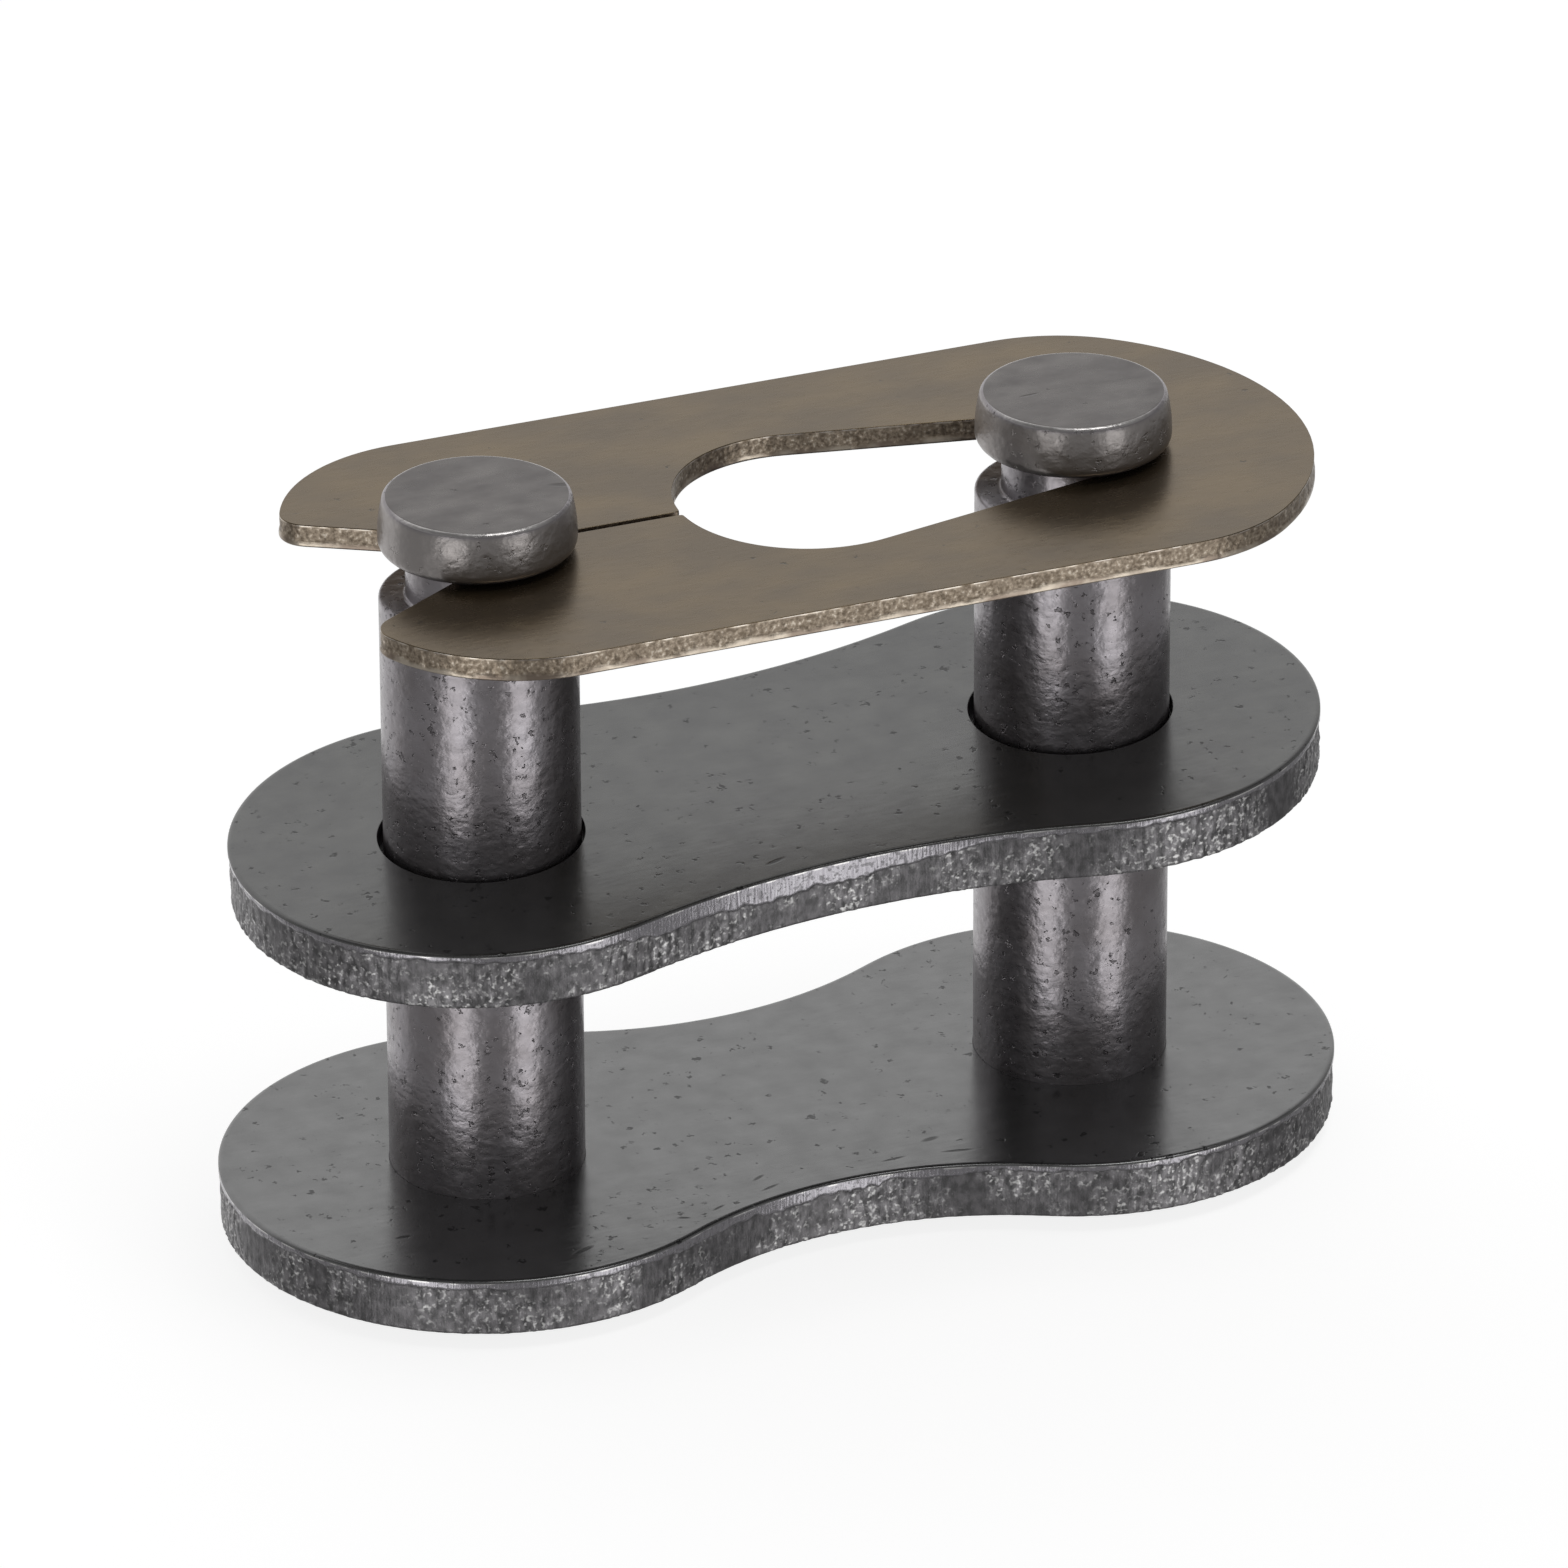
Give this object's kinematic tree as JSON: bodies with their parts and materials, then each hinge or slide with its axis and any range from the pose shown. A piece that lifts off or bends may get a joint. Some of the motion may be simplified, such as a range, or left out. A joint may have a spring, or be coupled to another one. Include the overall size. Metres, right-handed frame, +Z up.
{
  "type": "roller chain connecting link",
  "caption": "Roller chain connecting link: grooved pins riveted into a link plate, a slip fit cover plate and a spring clip snapped into the pin grooves.",
  "frame": {"origin": "on the plane of the pins' riveted ends, midway between the two pins", "axes": "+X along the link towards the clip's closed end, +Z up the pins from the pin plate to their heads"},
  "size_m": [0.0352, 0.0162, 0.0242],
  "materials": {
    "plate_steel": "heat treated dark grey steel, tumbled satin, with rough sheared edges",
    "pin_steel": "ground and polished hardened steel, semi-gloss, finely pitted",
    "clip_steel": "tempered spring steel with a bronze brown oxide, satin"
  },
  "bodies": {
    "pin_link": {"pin_plate": "plate_steel", "left_pin": "pin_steel", "right_pin": "pin_steel"},
    "cover": {"cover_plate": "plate_steel"},
    "clip": {"spring_clip": "clip_steel"}
  },
  "joints": [
    {"name": "cover_slide", "type": "slide", "parent": "pin_link", "child": "cover", "axis": [0, 0, 1], "range_m": [-0.0086, 0.0076]},
    {"name": "clip_slide", "type": "slide", "parent": "pin_link", "child": "clip", "axis": [1, 0, 0], "range_m": [0, 0.0103], "deforming": ["spring_clip"]}
  ]
}
